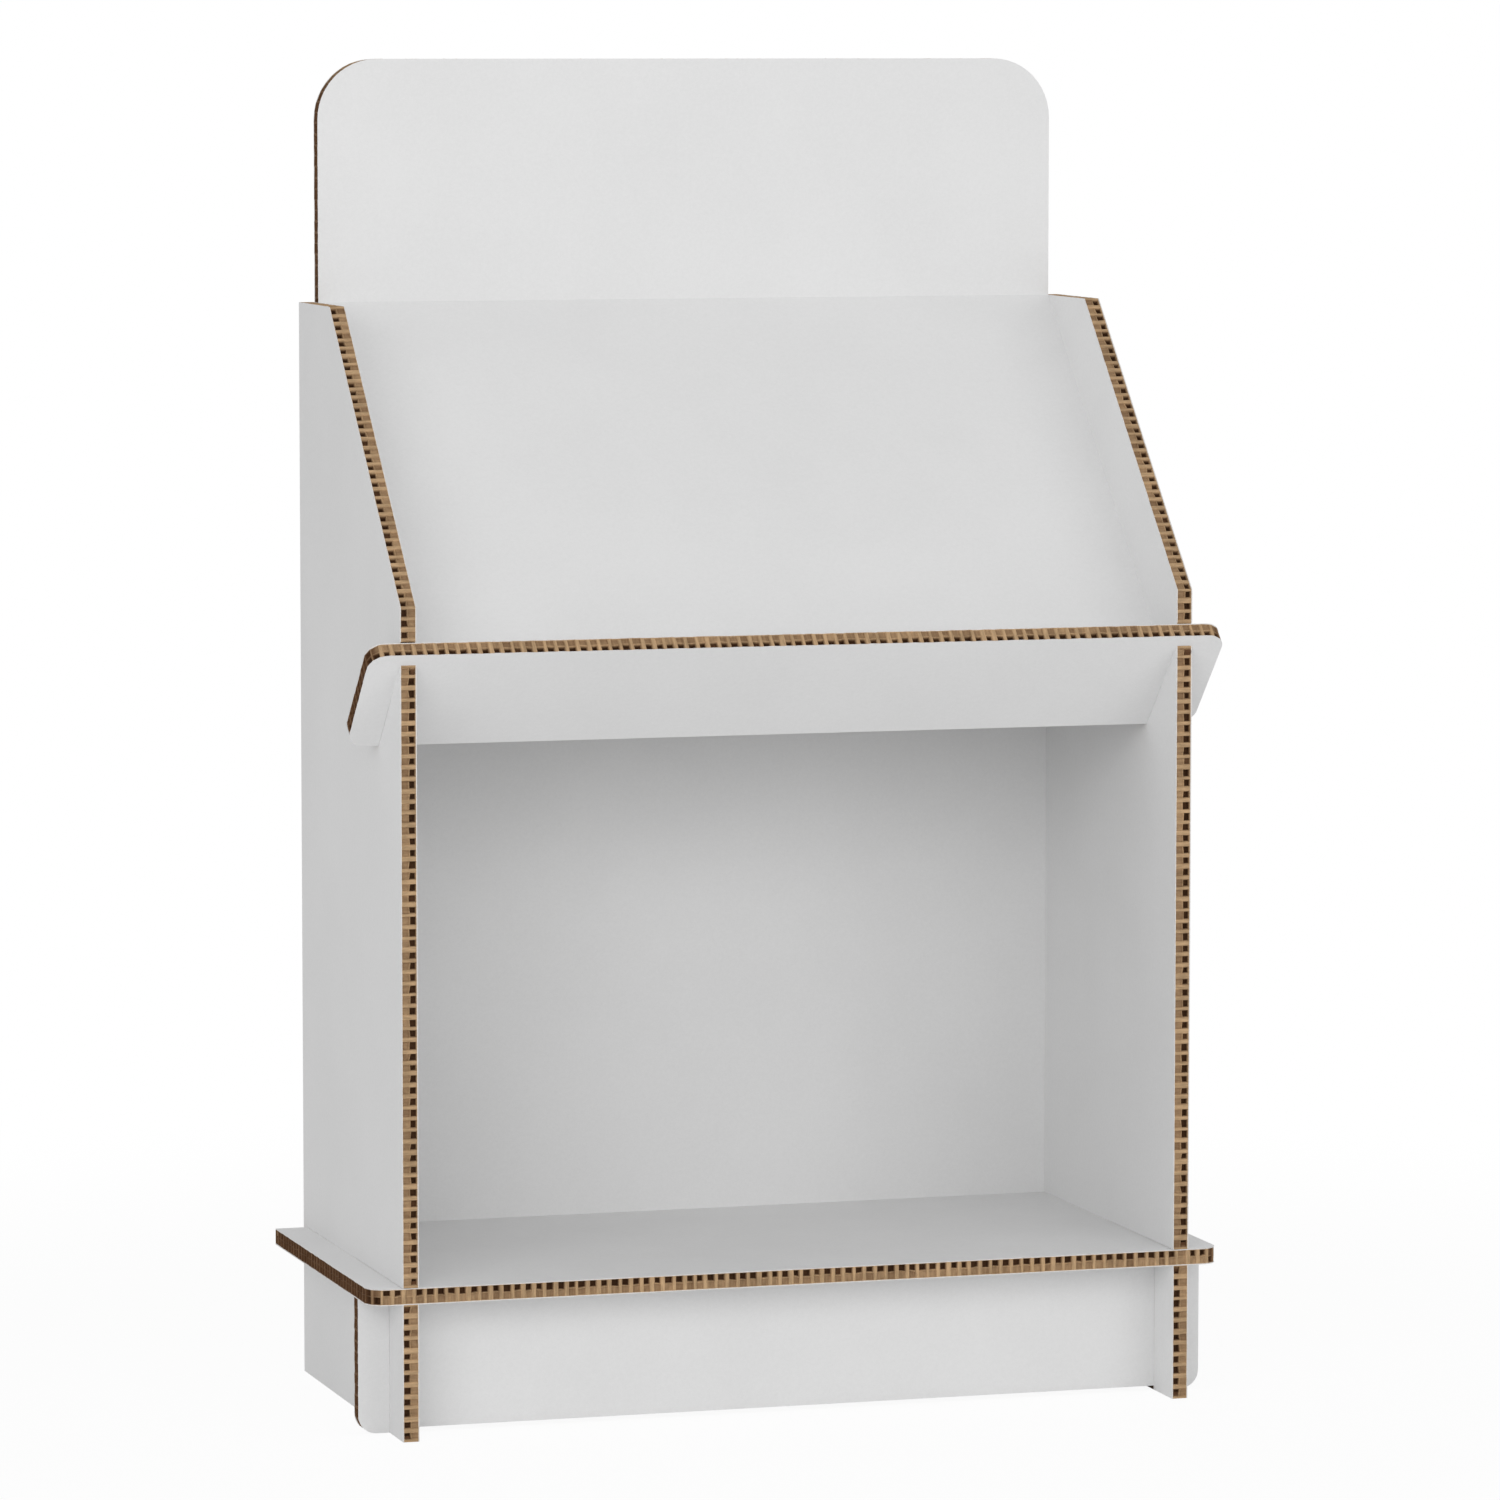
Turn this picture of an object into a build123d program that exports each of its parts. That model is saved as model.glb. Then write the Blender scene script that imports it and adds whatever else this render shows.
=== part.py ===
from build123d import *
import os

# Free-standing display stand cut from one honeycomb-core paper board.
# Seven flat boards: two sides, a back with a tall header, a sloping display
# board, a ledge across its foot, a shelf and a plinth.
# Millimetres, +Z up, the front faces -Y. The origin is on the floor, at the
# middle of the footprint of the two sides.

# Board and fit
board = 16.0  # thickness of the board every piece is cut from
fit = 0.3  # clearance across the width of each halving slot

# Overall sizes
width = 800.0  # across the outer faces of the sides
depth = 400.0  # front edge to rear edge of the sides
side_height = 1077.0  # floor to the flat top of the sides
front_height = 802.0  # floor to the foot of the slanted edge of the sides
total_height = 1318.0  # floor to the top of the header
header_radius = 60.0  # upper corners of the header
tab_radius = 18.0  # rounded corners of the parts that stand out past the sides

# Sloping display board and ledge, both at 45 degrees
side_rise = 77.0  # how far the sides stand above the display board, square to it
ledge_height = 747.0  # where the underside of the ledge crosses the front plane
ledge_lead = 10.0  # how far the top edge of the ledge stands ahead of the sides
ledge_length = 133.0  # top edge to foot of the ledge, along its face
ledge_overhang = 32.0  # past the outer face of each side

# Shelf and plinth
shelf_top = 149.0  # floor to the upper face of the shelf
shelf_overhang = 33.0  # past the outer face of each side
plinth_setback = 53.0  # front edge of the sides to the front face of the plinth
plinth_overhang = 31.0  # past the outer face of each side
plinth_relief = 4.0  # lift of the lower edge of the plinth between the sides

# Positions that follow from the sizes above
root_two = 2**0.5
inner_width = width - 2 * board
side_middle = (width - board) / 2
front = -depth / 2
rear = depth / 2
back_face = rear - board
slant_start = front + side_height - front_height
shelf_underside = shelf_top - board
shelf_lap = (front + back_face) / 2
plinth_front = front + plinth_setback
plinth_lap = shelf_underside / 2
slot = board + fit

# The front face of the display board lies on z = y + slope_level, the upper face
# of the ledge on z = ledge_level - y. They meet in the trough.
rise = board * root_two
slope_level = front_height - front - side_rise * root_two
ledge_level = ledge_height + front + rise
trough_y = (ledge_level - slope_level) / 2
trough_z = trough_y + slope_level

# Distances along the ledge are counted up from the front plane of the sides
ledge_tip = ledge_lead * root_two
ledge_foot = ledge_tip - ledge_length
ledge_lap = ledge_foot / 2

# Side view: x from front to rear, y up, the normal to the right
side_plane = Plane((0, 0, 0), x_dir=(0, 1, 0), z_dir=(1, 0, 0))
# Front views, seen from the front: x to the right, y up
back_plane = Plane((0, rear, 0), x_dir=(1, 0, 0), z_dir=(0, -1, 0))
plinth_plane = Plane((0, plinth_front + board, 0), x_dir=(1, 0, 0), z_dir=(0, -1, 0))
# Underside of the ledge: x to the right, y up the ledge
ledge_plane = Plane((0, front, ledge_height), x_dir=(1, 0, 0), z_dir=(0, -1, -1))
# End view of the ledge: x up the ledge, y through its thickness
ledge_section = Plane((0, front, ledge_height), x_dir=(0, -1, 1), z_dir=(-1, 0, 0))


def side_board(middle):
    """A side whose thickness is centred on x = middle, slotted from the front and below."""
    with BuildPart() as side:
        with BuildSketch(side_plane.offset(middle - board / 2)):
            with BuildLine():
                Polyline(
                    (front, 0),
                    (rear, 0),
                    (rear, side_height),
                    (slant_start, side_height),
                    (front, front_height),
                    close=True,
                )
            make_face()
            # Shelf slot, open at the front edge; the shelf rests on its lower wall
            with Locations((front, shelf_underside)):
                Rectangle(shelf_lap - front, slot, align=(Align.MIN, Align.MIN), mode=Mode.SUBTRACT)
            # Plinth slot, open at the floor
            with Locations((plinth_front + board / 2, 0)):
                Rectangle(slot, plinth_lap, align=(Align.CENTER, Align.MIN), mode=Mode.SUBTRACT)
        extrude(amount=board)
        # Ledge slot, open at the front edge; the ledge rests on its lower wall
        with BuildSketch(ledge_section.offset(-middle - board / 2)):
            with Locations((ledge_lap, 0)):
                Rectangle(ledge_length, slot, align=(Align.MIN, Align.MIN))
        extrude(amount=board, mode=Mode.SUBTRACT)
    return side


left_side = side_board(-side_middle)
left_side.part.label = "left_side"
right_side = side_board(side_middle)
right_side.part.label = "right_side"

# Back and header in one board, glued between the rear edges of the sides
with BuildPart() as back_panel:
    with BuildSketch(back_plane) as outline:
        Rectangle(inner_width, total_height, align=(Align.CENTER, Align.MIN))
        fillet(outline.vertices().group_by(Axis.Y)[-1], header_radius)
    extrude(amount=board)
back_panel.part.label = "back_panel"

# Display board: square foot on the ledge, top cut to lie flat on the back panel
with BuildPart() as display_panel:
    with BuildSketch(side_plane.offset(-inner_width / 2)):
        with BuildLine():
            Polyline(
                (trough_y, trough_z),
                (trough_y + rise / 2, trough_z - rise / 2),
                (back_face, back_face + slope_level - rise),
                (back_face, back_face + slope_level),
                close=True,
            )
        make_face()
    extrude(amount=inner_width)
display_panel.part.label = "display_panel"

# Ledge: slots open at its foot, halved over the sides
with BuildPart() as ledge:
    with BuildSketch(ledge_plane) as outline:
        with Locations((0, ledge_foot)):
            Rectangle(width + 2 * ledge_overhang, ledge_length, align=(Align.CENTER, Align.MIN))
        fillet(outline.vertices(), tab_radius)
        with Locations((0, ledge_foot)), GridLocations(2 * side_middle, 0, 2, 1):
            Rectangle(slot, ledge_lap - ledge_foot, align=(Align.CENTER, Align.MIN), mode=Mode.SUBTRACT)
    extrude(amount=-board)
ledge.part.label = "ledge"

# Shelf: slots open at the rear, halved over the sides, rear edge against the back
with BuildPart() as shelf:
    with BuildSketch(Plane.XY.offset(shelf_underside)) as outline:
        with Locations((0, front)):
            Rectangle(width + 2 * shelf_overhang, back_face - front, align=(Align.CENTER, Align.MIN))
        fillet(outline.vertices().group_by(Axis.Y)[0], tab_radius)
        with Locations((0, shelf_lap)), GridLocations(2 * side_middle, 0, 2, 1):
            Rectangle(slot, back_face - shelf_lap, align=(Align.CENTER, Align.MIN), mode=Mode.SUBTRACT)
    extrude(amount=board)
shelf.part.label = "shelf"

# Plinth: slots open at the top, halved under the sides, standing on its two ends
with BuildPart() as plinth:
    with BuildSketch(plinth_plane) as outline:
        Rectangle(width + 2 * plinth_overhang, shelf_underside, align=(Align.CENTER, Align.MIN))
        fillet(outline.vertices().group_by(Axis.Y)[0], tab_radius)
        Rectangle(inner_width, plinth_relief, align=(Align.CENTER, Align.MIN), mode=Mode.SUBTRACT)
        with Locations((0, plinth_lap)), GridLocations(2 * side_middle, 0, 2, 1):
            Rectangle(slot, shelf_underside, align=(Align.CENTER, Align.MIN), mode=Mode.SUBTRACT)
    extrude(amount=board)
plinth.part.label = "plinth"

os.makedirs("parts", exist_ok=True)
export_step(left_side.part, "parts/left_side.step")
export_step(right_side.part, "parts/right_side.step")
export_step(back_panel.part, "parts/back_panel.step")
export_step(display_panel.part, "parts/display_panel.step")
export_step(ledge.part, "parts/ledge.step")
export_step(shelf.part, "parts/shelf.step")
export_step(plinth.part, "parts/plinth.step")
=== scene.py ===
import math
import random

import bmesh
import bpy
from bpy.props import FloatProperty, FloatVectorProperty, IntProperty, PointerProperty
from mathutils import Matrix, Vector


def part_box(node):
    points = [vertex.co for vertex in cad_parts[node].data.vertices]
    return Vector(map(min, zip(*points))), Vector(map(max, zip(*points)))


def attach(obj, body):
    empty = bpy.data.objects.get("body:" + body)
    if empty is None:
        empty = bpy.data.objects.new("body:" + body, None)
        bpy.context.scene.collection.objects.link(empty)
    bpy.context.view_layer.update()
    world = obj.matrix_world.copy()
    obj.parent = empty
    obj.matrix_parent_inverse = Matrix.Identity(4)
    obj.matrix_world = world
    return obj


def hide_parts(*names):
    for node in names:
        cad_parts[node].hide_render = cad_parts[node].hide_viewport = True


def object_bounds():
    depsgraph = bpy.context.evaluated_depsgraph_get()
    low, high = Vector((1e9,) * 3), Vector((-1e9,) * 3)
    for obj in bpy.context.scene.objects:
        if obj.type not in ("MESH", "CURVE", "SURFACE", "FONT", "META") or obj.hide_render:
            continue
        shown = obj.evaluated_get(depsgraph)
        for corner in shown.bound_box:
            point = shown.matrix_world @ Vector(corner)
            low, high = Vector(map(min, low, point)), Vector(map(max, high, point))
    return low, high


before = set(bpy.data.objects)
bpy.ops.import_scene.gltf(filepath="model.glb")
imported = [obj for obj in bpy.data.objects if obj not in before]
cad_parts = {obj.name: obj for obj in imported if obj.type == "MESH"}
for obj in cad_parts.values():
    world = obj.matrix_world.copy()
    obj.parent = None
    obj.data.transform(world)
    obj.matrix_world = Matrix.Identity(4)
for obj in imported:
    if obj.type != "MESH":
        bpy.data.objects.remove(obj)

bl_info = {
    "name": "Board Display Stand",
    "version": (1, 0, 0),
    "blender": (4, 5, 0),
    "location": "3D View > Sidebar > Stand",
    "description": "Builds a slotted display stand of honeycomb-core paper board",
    "category": "Object",
}

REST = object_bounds()
X, Y, Z = Vector((1, 0, 0)), Vector((0, 1, 0)), Vector((0, 0, 1))

# Which face of a side board its open cells lie against, from the floor up to each height
LEFT_CELLS = ((0.14, -1), (0.752, 1), (9.0, -1))
RIGHT_CELLS = ((0.14, -1), (9.0, 1))
# Cuts that face this far along X run across the core's cells. They leave the cells wider open, and
# their closed half too, to a share of its depth
ACROSS = 0.7
OPEN_GAP = 1.25
CLOSED_SHARE = 0.5
# Cuts that face further along X than this count as sideways, and how much painted shade darkens their core
SIDEWAYS = 0.3
SIDEWAYS_SHADE = 0.75
# The widest half opening of a cell as a share of the pitch, so that no cell reaches the next
WIDEST_HALF = 0.42
# How far a cell's middle wanders as a share of the pitch, and the spread of its opening
MIDDLE_WANDER = 0.06
OPENING_SPREAD = (0.85, 1.1)
# How often a cell is torn half shut, and the share of its depth that stays open
TORN_SHUT = 0.05
TORN_DEPTH = 0.4
# The steps by which a cell narrows and deepens, how much it narrows last, and their spreads
CELL_STEPS = ((0.0005, 0.0009), (0.0005, 0.0014))
LAST_NARROWING = 0.0004
NARROWING_SPREAD = (0.6, 1.3)
DEPTH_SPREAD = (0.7, 1.0)
# How much a folded cell narrows, and how deep it is
FOLD_NARROWING = (0.0006, 0.0012)
FOLD_DEPTH = (0.0011, 0.0018)
# How far the line between the two rows of core wanders, and how rough the cut is
LINE_WANDER = 0.0009
CUT_ROUGH = (-0.0005, 0.0001)
# How far below the cut the painted shade inside a cell begins
DARK_FROM = 0.0003
# The worn rim of a board's paper faces
RIM_WIDTH = 0.003
# The cosine past which a face counts as facing a direction, and how near vertices are merged
FACING = 0.99
MERGE_DISTANCE = 1e-5

# Each softbox: its name, where it hangs, what it faces, and its power as a share of the key's
SOFTBOXES = (
    ("key", (-2.8, -3.8, 2.0), (0.0, 0.0, 0.6), 1.0),
    ("fill", (2.2, -4.2, 2.0), (0.0, 0.0, 0.6), 0.67),
    ("top", (0.0, -1.6, 4.2), (0.0, 0.2, 0.6), 0.10),
)
SOFTBOX_SIZE = (3.2, 2.4)

# The floor's radius, how far it lies below the stand, how white it is seen beside the stand, and
# the distances between which it fades to white
FLOOR_RADIUS = 6.0
FLOOR_DROP = 0.0005
FLOOR_COVER = 0.94
FLOOR_FADE = (0.7, 2.0)

CAMERA_PLACE = (-2.1493, -7.0294, 1.3537)
CAMERA_RIGHT = Vector((0.95599, -0.29340, 0.00052))
CAMERA_FORWARD = Vector((0.29206, 0.95146, -0.09708))
CAMERA_REACH = 60.0


class StandSettings(bpy.types.PropertyGroup):
    """Sizes and colours of the board, the floor and the light."""

    cell_pitch: FloatProperty(
        name="Cell pitch", description="Distance from one core cell to the next",
        default=0.0108, unit="LENGTH"
    )
    cell_gap: FloatProperty(
        name="Cell gap", description="Open length of one core cell along the cut",
        default=0.0078, unit="LENGTH"
    )
    cell_depth: FloatProperty(
        name="Cell depth", description="How deep a cut cell is open", default=0.0050, unit="LENGTH"
    )
    liner: FloatProperty(
        name="Liner", description="Thickness of the paper liner on each face", default=0.0009, unit="LENGTH"
    )
    seed: IntProperty(name="Seed", description="Seed of the irregular cells", default=7)
    paper_color: FloatVectorProperty(
        name="Paper", description="Colour of the liners", default=(0.82, 0.82, 0.82), subtype="COLOR"
    )
    kraft_color: FloatVectorProperty(
        name="Kraft", description="Colour of the core paper", default=(0.50, 0.335, 0.19), subtype="COLOR"
    )
    # Painted shade: the dark colour that the inside of a cut cell is painted towards, reached at its bottom
    cell_shade_color: FloatVectorProperty(
        name="Cell", description="Colour at the bottom of a cell",
        default=(0.115, 0.055, 0.026), subtype="COLOR"
    )
    floor_color: FloatVectorProperty(
        name="Floor", description="Colour of the floor", default=(0.97, 0.97, 0.97), subtype="COLOR"
    )
    key_power: FloatProperty(
        name="Key light", description="Power of the large light at the front left",
        default=55.5, unit="POWER"
    )
    ambient: FloatProperty(name="Ambient", description="Strength of the surrounding light", default=0.515)
    lens: FloatProperty(
        name="Lens", description="Focal length of the camera", default=178.87, unit="CAMERA"
    )


def settings():
    """The stand's settings in the current scene."""
    return bpy.context.scene.board_stand


class Shade:
    """Wraps one socket of a node tree, so that shader maths reads as plain arithmetic."""

    def __init__(self, tree, socket):
        self.tree = tree
        self.socket = socket

    def node(self, kind, options, output=0, **inputs):
        """Adds a node: its type, its settings, then the values or links of its sockets."""
        made = self.tree.nodes.new(kind)
        for key, value in options.items():
            setattr(made, key, value)
        for key, value in inputs.items():
            place = made.inputs[int(key[1:])] if key[1:].isdigit() else made.inputs[key.replace("_", " ")]
            if isinstance(value, Shade):
                self.tree.links.new(value.socket, place)
            else:
                place.default_value = value
        return Shade(self.tree, made.outputs[output])

    def _math(self, operation, first, second):
        return self.node("ShaderNodeMath", {"operation": operation}, i0=first, i1=second)

    def __add__(self, other):
        return self._math("ADD", self, other)

    def __radd__(self, other):
        return self._math("ADD", other, self)

    def __sub__(self, other):
        return self._math("SUBTRACT", self, other)

    def __rsub__(self, other):
        return self._math("SUBTRACT", other, self)

    def __mul__(self, other):
        return self._math("MULTIPLY", self, other)

    def __rmul__(self, other):
        return self._math("MULTIPLY", other, self)

    def __pow__(self, other):
        return self._math("POWER", self, other)

    def ramp(self, low, high):
        """0 at low and 1 at high, smooth between."""
        return self.node(
            "ShaderNodeMapRange",
            {"interpolation_type": "SMOOTHSTEP"},
            i0=self,
            i1=low,
            i2=high,
            i3=0.0,
            i4=1.0,
        )

    def mix(self, first, second):
        """Mixes two colours by this value."""
        return self.node(
            "ShaderNodeMix",
            {"data_type": "RGBA", "clamp_factor": True},
            output=2,
            i0=self,
            i6=first,
            i7=second,
        )

    def noise(self, scale, detail=3.0, rough=0.55):
        """Noise of this many features per metre, about 0.5."""
        return self.node(
            "ShaderNodeTexNoise",
            {"noise_dimensions": "3D"},
            Vector=self,
            Scale=scale,
            Detail=detail,
            Roughness=rough,
        )


def material(name):
    """A new material with a bare Principled shader: (material, tree handle, shader node)."""
    made = bpy.data.materials.new(name)
    made.use_nodes = True
    shader = made.node_tree.nodes["Principled BSDF"]
    return made, Shade(made.node_tree, None), shader


def link(value, shader, socket):
    """Feeds one socket of a shader."""
    value.tree.links.new(value.socket, shader.inputs[socket])


def color(value):
    """An RGB setting as the RGBA that a socket takes."""
    return (*value, 1.0)


def shaded(value, factor):
    """A colour multiplied by a plain factor, as RGBA."""
    return (*(channel * factor for channel in value), 1.0)


def paper_material():
    """White liner paper: fine fibre, faint print of the core, scuffed and toned near a cut."""
    made, tree, shader = material("liner_paper")
    base = Vector(settings().paper_color)
    place = tree.node("ShaderNodeTexCoord", {}, output="Object")
    rim = tree.node("ShaderNodeAttribute", {"attribute_name": "rim"}, output="Fac")
    cloud = place.noise(7.0, 4.0)
    fibre = place.noise(900.0, 5.0, 0.7)
    fleck = place.noise(260.0, 2.0)
    cells = tree.node(
        "ShaderNodeTexVoronoi",
        {"feature": "SMOOTH_F1"},
        Vector=place,
        Scale=1 / settings().cell_pitch,
        Smoothness=0.6,
    )
    tone = (cloud * 0.35 + fibre * 0.4 + fleck * 0.25).ramp(0.3, 0.7)
    sheet = tone.mix(shaded(base, 0.965), shaded(base, 1.03))
    worn = (rim * (fleck + 0.35)).ramp(0.55, 1.1)
    kraft = Vector(settings().kraft_color)
    edge = color(base.lerp(kraft, 0.28))
    link(worn.mix(sheet, edge), shader, "Base Color")
    link(0.62 + fibre * 0.18 + worn * 0.1, shader, "Roughness")
    relief = fibre * 0.5 + cells * 0.12 + fleck * 0.3
    bump = tree.node("ShaderNodeBump", {}, Strength=0.22, Distance=0.0004, Height=relief)
    link(bump, shader, "Normal")
    shader.inputs["Specular IOR Level"].default_value = 0.25
    return made


def kraft_material():
    """Brown core paper at a cut: fibres torn across the board, with painted shade inside the open cells and
    on cuts that face sideways.
    """
    made, tree, shader = material("core_kraft")
    base = Vector(settings().kraft_color)
    place = tree.node("ShaderNodeTexCoord", {}, output="Object")
    cut = tree.node("ShaderNodeUVMap", {"uv_map": "cut"})
    # The pit attribute carries painted shade: how far the cut's colour is darkened towards the cell's shade
    # colour
    pit = tree.node("ShaderNodeAttribute", {"attribute_name": "pit"}, output="Fac")
    streak_place = tree.node(
        "ShaderNodeVectorMath", {"operation": "MULTIPLY"}, i0=cut, i1=(420.0, 70.0, 1.0)
    )
    streak = streak_place.noise(1.0, 4.0, 0.6)
    drift = place.noise(16.0, 3.0)
    fibre = place.noise(1100.0, 4.0, 0.7)
    tone = (streak * 0.5 + drift * 0.35 + fibre * 0.15).ramp(0.33, 0.68)
    surface = tone.mix(shaded(base, 0.68), shaded(base, 1.3))
    depth = pit ** 0.8
    # Painted shade: the cut's colour goes towards the dark cell colour as the pit attribute rises
    link(depth.ramp(0.0, 0.78).mix(surface, color(settings().cell_shade_color)), shader, "Base Color")
    link(0.82 + fibre * 0.15, shader, "Roughness")
    relief = streak * 0.7 + fibre * 0.5
    bump = tree.node("ShaderNodeBump", {}, Strength=0.5, Distance=0.0006, Height=relief)
    link(bump, shader, "Normal")
    shader.inputs["Specular IOR Level"].default_value = 0.12
    return made


def board_materials():
    """The two materials of every board, made once."""
    found = [bpy.data.materials.get(name) for name in ("liner_paper", "core_kraft")]
    return found if all(found) else [paper_material(), kraft_material()]


class Run:
    """One stretch of a board's outline between two sharp corners, walked with the board on its left."""

    def __init__(self, points, normal):
        self.points = points
        self.normal = normal
        self.marks = [0.0]
        for here, there in zip(points, points[1:]):
            self.marks.append(self.marks[-1] + (there - here).length)
        self.length = self.marks[-1]

    def at(self, distance):
        """The point at a distance along the run."""
        distance = min(max(distance, 0.0), self.length)
        for index, mark in enumerate(self.marks[1:]):
            if distance <= mark or index == len(self.marks) - 2:
                start = self.marks[index]
                share = (distance - start) / (mark - start)
                return self.points[index].lerp(self.points[index + 1], share)

    def outward(self, distance, reach=0.004):
        """The direction out of the board, square to the cut."""
        tangent = self.at(distance + reach) - self.at(distance - reach)
        return tangent.cross(self.normal).normalized()


def outline_runs(node, normal, sharp=math.radians(40)):
    """Splits the outline of a node's broad face into runs at its sharp corners."""
    bm = bmesh.new()
    bm.from_mesh(node.data)
    bmesh.ops.remove_doubles(bm, verts=bm.verts, dist=MERGE_DISTANCE)
    broad = {face for face in bm.faces if face.normal.dot(normal) > FACING}
    step = {}
    for edge in bm.edges:
        loops = [loop for loop in edge.link_loops if loop.face in broad]
        if len(loops) == 1:
            step[loops[0].vert] = loops[0].link_loop_next.vert
    before = {there: here for here, there in step.items()}

    def turn(vert):
        return (step[vert].co - vert.co).angle(vert.co - before[vert].co)

    corners = [vert for vert in step if turn(vert) > sharp]
    runs = []
    for vert in corners:
        points = [vert.co.copy()]
        here = step[vert]
        while here not in corners:
            points.append(here.co.copy())
            here = step[here]
        points.append(here.co.copy())
        runs.append(Run(points, normal))
    bm.free()
    return runs


def cell_strip(run, thickness, side_of, rng):
    """The cut edge along one run: liner, two rows of core and liner, with a row of open cells."""
    s = settings()
    count = max(1, round(run.length / s.cell_pitch))
    pitch = run.length / count
    columns, sides, across = [0.0], [], []
    for index in range(count):
        middle = (index + 0.5 + rng.uniform(-MIDDLE_WANDER, MIDDLE_WANDER)) * pitch
        out = run.outward(middle)
        across.append(abs(out.x) > ACROSS)
        sides.append(side_of(run.at(middle), out))
        half = s.cell_gap / 2 * (OPEN_GAP if across[-1] else rng.uniform(*OPENING_SPREAD))
        half = min(half, WIDEST_HALF * pitch)
        columns += [middle - half, middle + half]
    columns.append(run.length)
    rows = [0.0, s.liner, thickness / 2, thickness - s.liner, thickness]
    strip = bmesh.new()
    uv = strip.loops.layers.uv.new("cut")
    bmesh.ops.create_grid(strip, x_segments=len(columns) - 1, y_segments=len(rows) - 1, size=0.5)
    wander = [rng.uniform(-LINE_WANDER, LINE_WANDER) for _ in columns]
    cells, folds = [], []
    for face in strip.faces:
        centre = face.calc_center_median()
        column = int((centre.x + 0.5) * (len(columns) - 1))
        row = int((centre.y + 0.5) * (len(rows) - 1))
        face.material_index = 1 if row in (1, 2) else 0
        if column % 2 and row in (1, 2):
            cell = column // 2
            is_open = sides[cell] == (1 if row == 2 else -1)
            if is_open or across[cell]:
                cells.append((face, 1.0 if is_open else CLOSED_SHARE))
            else:
                folds.append(face)
    for vert in strip.verts:
        i = round((vert.co.x + 0.5) * (len(columns) - 1))
        j = round((vert.co.y + 0.5) * (len(rows) - 1))
        shift = wander[i] if j == 2 else 0.0
        rough = rng.uniform(*CUT_ROUGH) if j in (1, 2, 3) else 0.0
        vert.co = (columns[i], rows[j] + shift, rough)
    for face, share in cells:
        if rng.random() < TORN_SHUT:
            share *= TORN_DEPTH
        for narrowing, depth in (*CELL_STEPS, (LAST_NARROWING, s.cell_depth * share)):
            bmesh.ops.inset_individual(
                strip,
                faces=[face],
                thickness=narrowing * rng.uniform(*NARROWING_SPREAD),
                depth=-depth * rng.uniform(*DEPTH_SPREAD),
                use_even_offset=True,
            )
    for face in folds:
        bmesh.ops.inset_individual(
            strip,
            faces=[face],
            thickness=rng.uniform(*FOLD_NARROWING),
            depth=-rng.uniform(*FOLD_DEPTH),
            use_even_offset=True,
        )
    for face in strip.faces:
        for loop in face.loops:
            loop[uv].uv = loop.vert.co.xy
    pit = strip.verts.layers.float.new("pit")
    rim = strip.verts.layers.float.new("rim")
    for vert in strip.verts:
        along, height, out = vert.co
        outward = run.outward(along)
        inside = s.liner * 0.9 < height < thickness - s.liner * 0.9
        # Painted shade: cuts that face sideways are darkened across their core, and each cell darkens further
        # with its depth below the cut
        floor = SIDEWAYS_SHADE * max(0.0, abs(outward.x) - SIDEWAYS) if inside else 0.0
        vert[pit] = min(1.0, floor + max(0.0, -out - DARK_FROM) / s.cell_depth)
        vert[rim] = 1.0
        vert.co = run.at(along) + run.normal * (height - thickness) + outward * out
    made = bpy.data.meshes.new("strip")
    strip.to_mesh(made)
    strip.free()
    return made


def board_piece(name, node_name, normal, thickness, side_of):
    """A board in place of its CAD node: two paper faces, and cut edges with open core cells."""
    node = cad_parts[node_name]
    rng = random.Random(f"{settings().seed}-{name}")
    bm = bmesh.new()
    bm.from_mesh(node.data)
    bmesh.ops.remove_doubles(bm, verts=bm.verts, dist=MERGE_DISTANCE)
    cut = [face for face in bm.faces if abs(face.normal.dot(normal)) < FACING]
    bmesh.ops.delete(bm, geom=cut, context="FACES")
    rim = bm.verts.layers.float.new("rim")
    bm.verts.layers.float.new("pit")
    bm.loops.layers.uv.new("cut")
    ring = bmesh.ops.inset_region(bm, faces=bm.faces[:], thickness=RIM_WIDTH, use_even_offset=True)
    edges = {edge for face in ring["faces"] for edge in face.edges if edge.is_boundary}
    outer = {vert for edge in edges for vert in edge.verts}
    for vert in bm.verts:
        vert[rim] = 1.0 if vert in outer else 0.0
    for face in bm.faces:
        face.material_index = 0
    for run in outline_runs(node, normal):
        strip = cell_strip(run, thickness, side_of, rng)
        bm.from_mesh(strip)
        bpy.data.meshes.remove(strip)
    made = bpy.data.meshes.new(name)
    bm.to_mesh(made)
    bm.free()
    for each in board_materials():
        made.materials.append(each)
    piece = bpy.data.objects.new(name, made)
    bpy.context.collection.objects.link(piece)
    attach(piece, "root")
    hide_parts(node_name)


def board_thickness():
    """The thickness of the board, from the back panel."""
    low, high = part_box("back_panel")
    return high[1] - low[1]


def by_height(zones):
    """Tells which face the open cells lie against, by their height on a side."""
    return lambda place, out: next(side for top, side in zones if place.z < top)


def on_shelf(place, out):
    """The shelf's open cells lie high on its front and low on its ends, and close where it crosses a side."""
    if abs(out.x) > SIDEWAYS:
        return -1
    low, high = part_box("right_side")
    return 0 if low[0] < abs(place.x) < high[0] else 1


class STAND_OT_sides(bpy.types.Operator):
    """Builds the two side boards."""

    bl_idname = "stand.sides"
    bl_label = "Side boards"

    def execute(self, context):
        board_piece("left_side_board", "left_side", X, board_thickness(), by_height(LEFT_CELLS))
        board_piece("right_side_board", "right_side", X, board_thickness(), by_height(RIGHT_CELLS))
        return {"FINISHED"}


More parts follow.
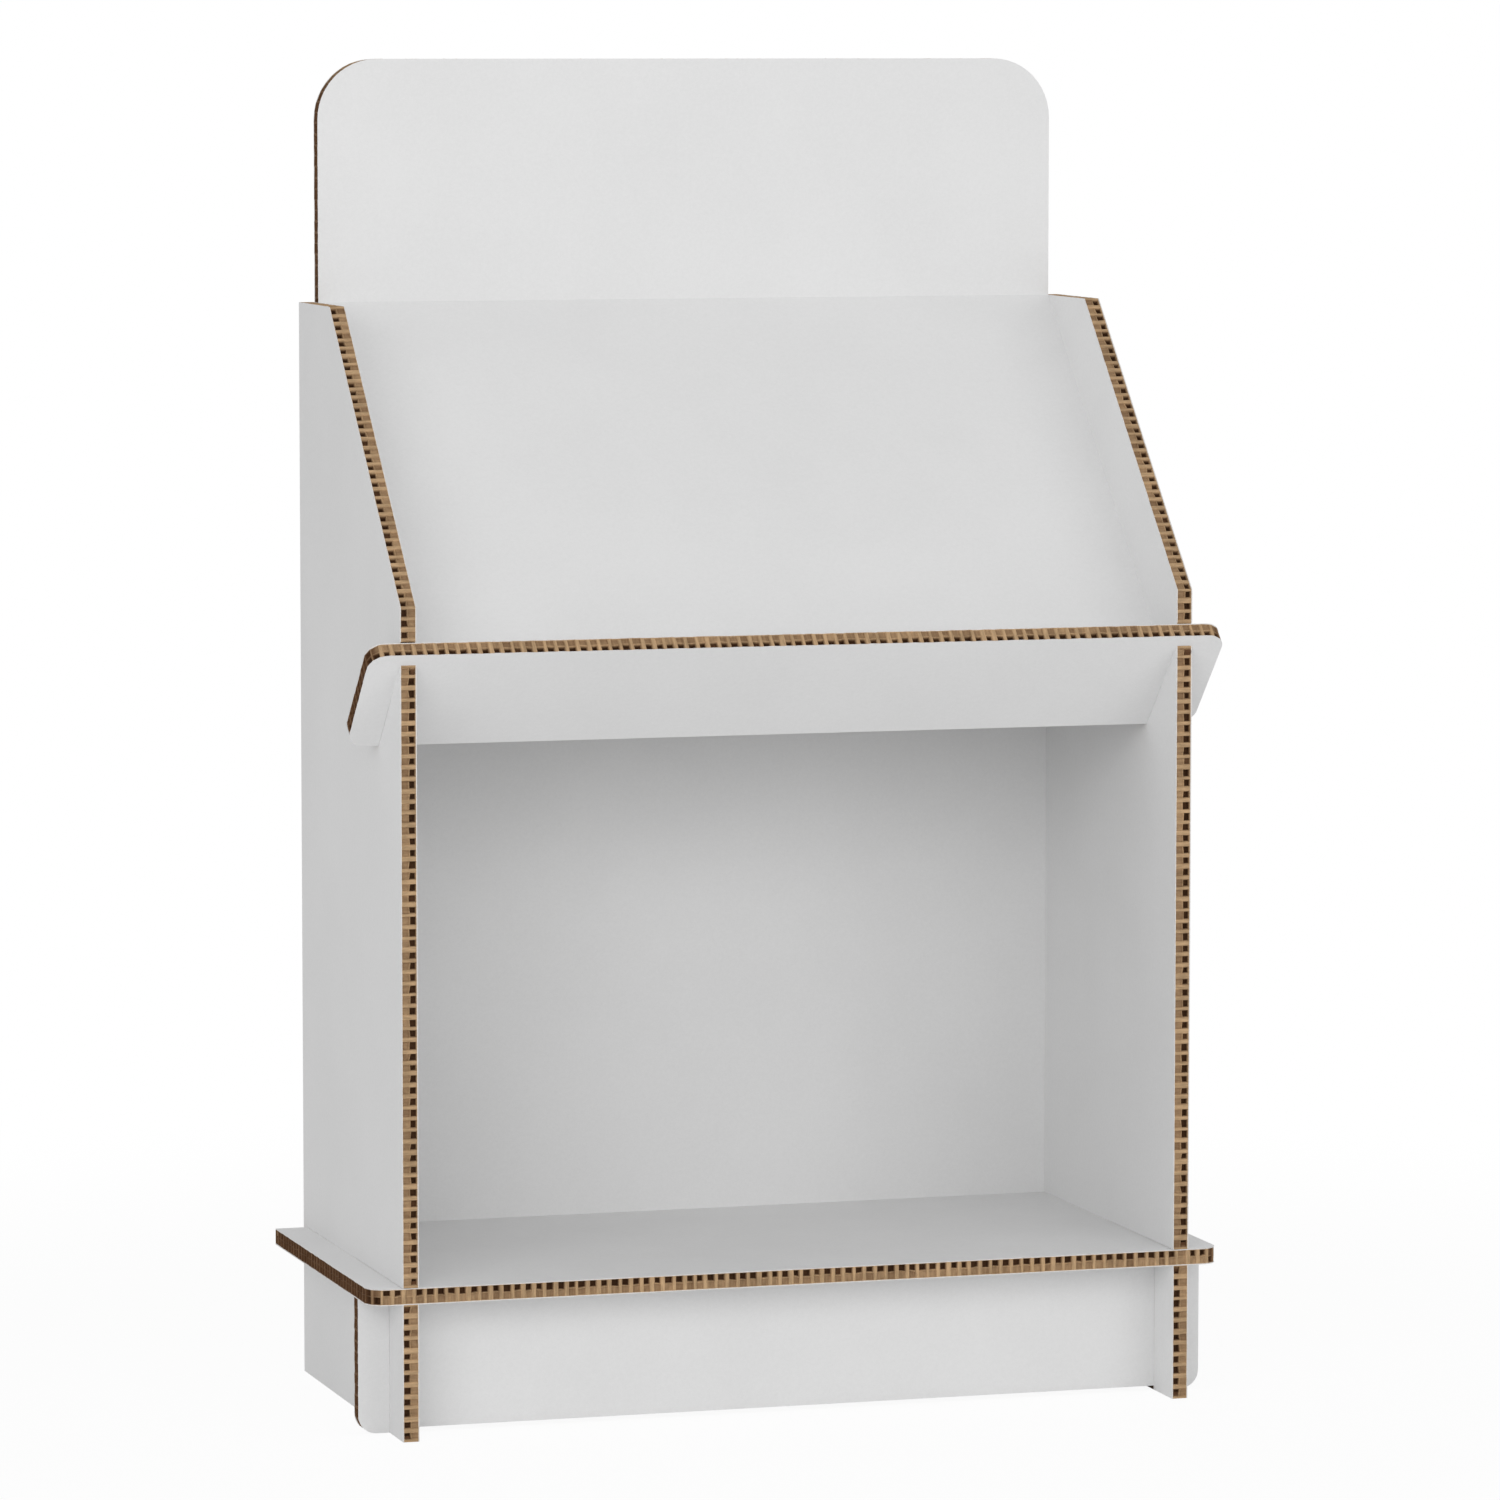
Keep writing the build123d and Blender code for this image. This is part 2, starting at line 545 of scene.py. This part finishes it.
class STAND_OT_back(bpy.types.Operator):
    """Builds the back panel with its header."""

    bl_idname = "stand.back"
    bl_label = "Back and header"

    def execute(self, context):
        board_piece("back_board", "back_panel", -Y, board_thickness(), lambda place, out: 1)
        return {"FINISHED"}


class STAND_OT_display(bpy.types.Operator):
    """Gives the sloping display panel its paper faces."""

    bl_idname = "stand.display"
    bl_label = "Display panel"

    def execute(self, context):
        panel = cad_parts["display_panel"]
        panel.data.materials.clear()
        panel.data.materials.append(board_materials()[0])
        return {"FINISHED"}


class STAND_OT_ledge(bpy.types.Operator):
    """Builds the ledge across the foot of the display panel."""

    bl_idname = "stand.ledge"
    bl_label = "Ledge"

    def execute(self, context):
        normal = (-Y - Z).normalized()
        board_piece("ledge_board", "ledge", normal, board_thickness(), lambda place, out: 1)
        return {"FINISHED"}


class STAND_OT_shelf(bpy.types.Operator):
    """Builds the shelf."""

    bl_idname = "stand.shelf"
    bl_label = "Shelf"

    def execute(self, context):
        board_piece("shelf_board", "shelf", Z, board_thickness(), on_shelf)
        return {"FINISHED"}


class STAND_OT_plinth(bpy.types.Operator):
    """Builds the plinth."""

    bl_idname = "stand.plinth"
    bl_label = "Plinth"

    def execute(self, context):
        board_piece("plinth_board", "plinth", -Y, board_thickness(), lambda place, out: 1)
        return {"FINISHED"}


class STAND_OT_stage(bpy.types.Operator):
    """Sets the floor, the light, the surroundings and the camera."""

    bl_idname = "stand.stage"
    bl_label = "Stage"

    def execute(self, context):
        s = settings()
        self.floor(s)
        self.surroundings(s)
        self.lights(s)
        self.camera(s)
        context.scene.view_settings.view_transform = "Standard"
        return {"FINISHED"}

    def floor(self, s):
        bm = bmesh.new()
        bmesh.ops.create_circle(bm, cap_ends=True, segments=96, radius=FLOOR_RADIUS)
        mesh = bpy.data.meshes.new("floor")
        bm.to_mesh(mesh)
        bm.free()
        floor = bpy.data.objects.new("floor", mesh)
        floor.location.z = REST[0].z - FLOOR_DROP
        bpy.context.collection.objects.link(floor)
        made, tree, shader = material("floor_white")
        place = tree.node("ShaderNodeTexCoord", {}, output="Object")
        grain = place.noise(60.0, 3.0)
        base = Vector(s.floor_color)
        link(grain.mix(shaded(base, 0.995), color(base)), shader, "Base Color")
        shader.inputs["Roughness"].default_value = 0.9
        shader.inputs["Specular IOR Level"].default_value = 0.0
        reach = place.node("ShaderNodeVectorMath", {"operation": "LENGTH"}, output=1, i0=place)
        white = tree.node("ShaderNodeEmission", {}, Color=(1.0, 1.0, 1.0, 1.0))
        cover = self.seen(tree) * (FLOOR_COVER + reach.ramp(*FLOOR_FADE) * (1.0 - FLOOR_COVER))
        matte = Shade(made.node_tree, shader.outputs[0])
        glow = tree.node("ShaderNodeMixShader", {}, i0=cover, i1=matte, i2=white)
        output = made.node_tree.nodes["Material Output"]
        made.node_tree.links.new(glow.socket, output.inputs["Surface"])
        mesh.materials.append(made)

    def seen(self, tree):
        """1 for what the camera sees, straight or through a reflection."""
        camera = tree.node("ShaderNodeLightPath", {}, output="Is Camera Ray")
        glossy = tree.node("ShaderNodeLightPath", {}, output="Is Glossy Ray")
        through = tree.node("ShaderNodeLightPath", {}, output="Is Transmission Ray")
        return (camera + glossy + through).ramp(0.0, 1.0)

    def surroundings(self, s):
        world = bpy.data.worlds.new("studio")
        bpy.context.scene.world = world
        world.use_nodes = True
        tree = Shade(world.node_tree, None)
        background = world.node_tree.nodes["Background"]
        background.inputs["Color"].default_value = (1.0, 1.0, 1.0, 1.0)
        link(s.ambient + self.seen(tree) * (1.0 - s.ambient), background, "Strength")

    def lights(self, s):
        for name, location, aim, share in SOFTBOXES:
            light = bpy.data.lights.new(name, "AREA")
            light.shape = "RECTANGLE"
            light.size, light.size_y = SOFTBOX_SIZE
            light.energy = s.key_power * share
            lamp = bpy.data.objects.new(name, light)
            lamp.location = location
            lamp.rotation_euler = (Vector(aim) - lamp.location).to_track_quat("-Z", "Y").to_euler()
            bpy.context.collection.objects.link(lamp)

    def camera(self, s):
        made = bpy.data.cameras.new("camera")
        made.lens = s.lens
        made.clip_end = CAMERA_REACH
        camera = bpy.data.objects.new("camera", made)
        camera.location = CAMERA_PLACE
        up = CAMERA_RIGHT.cross(CAMERA_FORWARD)
        turn = Matrix((CAMERA_RIGHT, up, -CAMERA_FORWARD)).transposed()
        camera.rotation_euler = turn.to_euler()
        bpy.context.collection.objects.link(camera)
        bpy.context.scene.camera = camera


class STAND_PT_panel(bpy.types.Panel):
    """Lists the stand's settings and the operators that build it."""

    bl_idname = "STAND_PT_panel"
    bl_label = "Board Display Stand"
    bl_space_type = "VIEW_3D"
    bl_region_type = "UI"
    bl_category = "Stand"

    def draw(self, context):
        for name in StandSettings.__annotations__:
            self.layout.prop(context.scene.board_stand, name)
        for operator in OPERATORS:
            self.layout.operator(operator.bl_idname)


OPERATORS = (
    STAND_OT_sides,
    STAND_OT_back,
    STAND_OT_display,
    STAND_OT_ledge,
    STAND_OT_shelf,
    STAND_OT_plinth,
    STAND_OT_stage,
)
CLASSES = (StandSettings, *OPERATORS, STAND_PT_panel)


def register():
    for each in CLASSES:
        bpy.utils.register_class(each)
    bpy.types.Scene.board_stand = PointerProperty(type=StandSettings)


def unregister():
    del bpy.types.Scene.board_stand
    for each in reversed(CLASSES):
        bpy.utils.unregister_class(each)


def main():
    """Builds the stand and its stage."""
    register()
    bpy.ops.stand.sides()
    bpy.ops.stand.back()
    bpy.ops.stand.display()
    bpy.ops.stand.ledge()
    bpy.ops.stand.shelf()
    bpy.ops.stand.plinth()
    bpy.ops.stand.stage()


if __name__ == "__main__":
    main()
